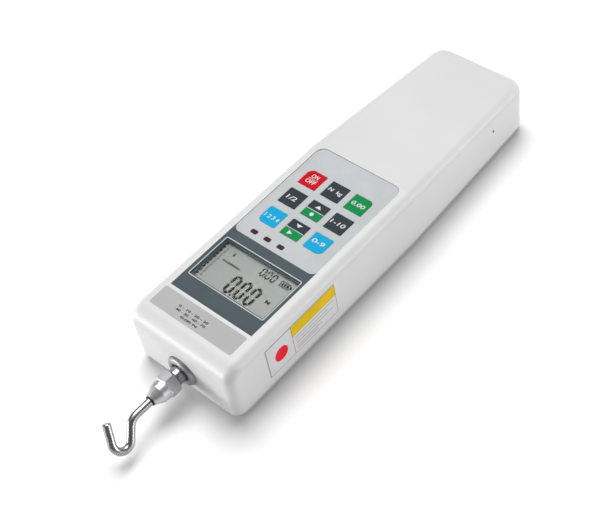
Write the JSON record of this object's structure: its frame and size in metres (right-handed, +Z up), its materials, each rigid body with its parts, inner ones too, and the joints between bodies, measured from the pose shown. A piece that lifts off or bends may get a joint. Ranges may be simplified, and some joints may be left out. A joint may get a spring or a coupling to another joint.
{
  "type": "digital force gauge",
  "caption": "Hand-held digital force gauge: white tapered housing, keypad and display on top, measuring shaft with a screw-on pull hook at the front.",
  "frame": {"origin": "on the base face, centred on the housing's width and 0.85 mm in front of the middle of its length", "axes": "+Y along the measuring axis towards the rear end, +X to the right of the display, +Z up through the display"},
  "size_m": [0.0662, 0.2791, 0.0361],
  "materials": {
    "painted_white": "satin powder coat",
    "base_grey": "satin moulded",
    "black_rubber": "matt",
    "steel_bright": "polished",
    "steel_plain": "brushed",
    "zinc_steel": "zinc plated",
    "brass": "machined",
    "aluminium": "machined",
    "collar_grey": "satin",
    "overlay_grey": "satin printed film",
    "panel_slate": "satin printed film",
    "window_clear": "clear",
    "lcd": "reflective grey green",
    "backlight": "diffusing",
    "black_plastic": "moulded",
    "pcb": "solder mask",
    "chip": "moulded epoxy",
    "film_clear": "polyester film",
    "key_dark": "satin printed film",
    "key_red": "satin printed film",
    "key_green": "satin printed film",
    "key_blue": "satin printed film",
    "led_smoke": "smoked window",
    "led_clear": "diffused epoxy",
    "label_silver": "foil label",
    "label_grey": "printed foil label",
    "cell_wrap": "printed sleeve"
  },
  "bodies": {
    "housing": {"top_cover": "painted_white", "keypad_deck": "painted_white", "base_cover": "base_grey", "case_gasket": "black_rubber", "case_screws": "zinc_steel", "stand_inserts": "brass", "battery_cells": "cell_wrap", "battery_contacts": "steel_plain", "battery_door": "base_grey", "battery_door_screw": "zinc_steel", "front_collar": "collar_grey", "collar_retainer": "black_plastic", "load_cell_beam": "aluminium", "strain_gauges": "film_clear", "load_cell_screws": "zinc_steel", "overload_stop": "steel_plain", "overload_stop_screw": "zinc_steel", "keypad_overlay": "overlay_grey", "key_spacer": "film_clear", "keypad_circuit": "film_clear", "snap_domes": "steel_plain", "led_windows": "led_smoke", "keypad_tail": "film_clear", "display_panel": "panel_slate", "display_window": "window_clear", "lcd_glass": "lcd", "lcd_backlight": "backlight", "lcd_frame": "black_plastic", "zebra_strips": "black_rubber", "main_board": "pcb", "board_screws": "zinc_steel", "board_components": "chip", "buzzer": "black_plastic", "indicator_leds": "led_clear", "light_pipes": "backlight", "tail_connector": "black_plastic", "usb_socket": "steel_plain", "usb_tongue": "black_plastic", "front_label": "label_grey", "side_label": "label_silver"},
    "measuring_head": {"measuring_shaft": "steel_bright", "load_cell_moving_end": "aluminium", "shaft_lock_nut": "zinc_steel"},
    "hook_assembly": {"coupling_nut": "steel_bright", "pull_hook": "steel_bright", "hook_ring": "black_rubber"},
    "key_rear_left_cap": {"key_rear_left": "key_red"},
    "key_rear_centre_cap": {"key_rear_centre": "key_dark"},
    "key_rear_right_cap": {"key_rear_right": "key_green"},
    "key_middle_left_cap": {"key_middle_left": "key_dark"},
    "key_middle_centre_cap": {"key_middle_centre": "key_dark"},
    "key_middle_right_cap": {"key_middle_right": "key_dark"},
    "key_front_left_cap": {"key_front_left": "key_blue"},
    "key_front_centre_cap": {"key_front_centre": "key_dark"},
    "key_front_right_cap": {"key_front_right": "key_blue"}
  },
  "joints": [
    {"name": "shaft_travel", "type": "slide", "parent": "housing", "child": "measuring_head", "axis": [0, -1, 0], "range_m": [-0.00025, 0.00025], "stiffness_N_per_m": 10000},
    {"name": "hook_turn", "type": "hinge", "parent": "measuring_head", "child": "hook_assembly", "pos_m": [0, -0.128, 0.0153], "axis": [0, -1, 0], "range_deg": [-180, 180]},
    {"name": "key_rear_left_press", "type": "slide", "parent": "housing", "child": "key_rear_left_cap", "axis": [0, 0, -1], "range_m": [0, 0.0003], "stiffness_N_per_m": 1500},
    {"name": "key_rear_centre_press", "type": "slide", "parent": "housing", "child": "key_rear_centre_cap", "axis": [0, 0, -1], "range_m": [0, 0.0003], "stiffness_N_per_m": 1500},
    {"name": "key_rear_right_press", "type": "slide", "parent": "housing", "child": "key_rear_right_cap", "axis": [0, 0, -1], "range_m": [0, 0.0003], "stiffness_N_per_m": 1500},
    {"name": "key_middle_left_press", "type": "slide", "parent": "housing", "child": "key_middle_left_cap", "axis": [0, 0, -1], "range_m": [0, 0.0003], "stiffness_N_per_m": 1500},
    {"name": "key_middle_centre_press", "type": "slide", "parent": "housing", "child": "key_middle_centre_cap", "axis": [0, 0, -1], "range_m": [0, 0.0003], "stiffness_N_per_m": 1500},
    {"name": "key_middle_right_press", "type": "slide", "parent": "housing", "child": "key_middle_right_cap", "axis": [0, 0, -1], "range_m": [0, 0.0003], "stiffness_N_per_m": 1500},
    {"name": "key_front_left_press", "type": "slide", "parent": "housing", "child": "key_front_left_cap", "axis": [0, 0, -1], "range_m": [0, 0.0003], "stiffness_N_per_m": 1500},
    {"name": "key_front_centre_press", "type": "slide", "parent": "housing", "child": "key_front_centre_cap", "axis": [0, 0, -1], "range_m": [0, 0.0003], "stiffness_N_per_m": 1500},
    {"name": "key_front_right_press", "type": "slide", "parent": "housing", "child": "key_front_right_cap", "axis": [0, 0, -1], "range_m": [0, 0.0003], "stiffness_N_per_m": 1500}
  ]
}
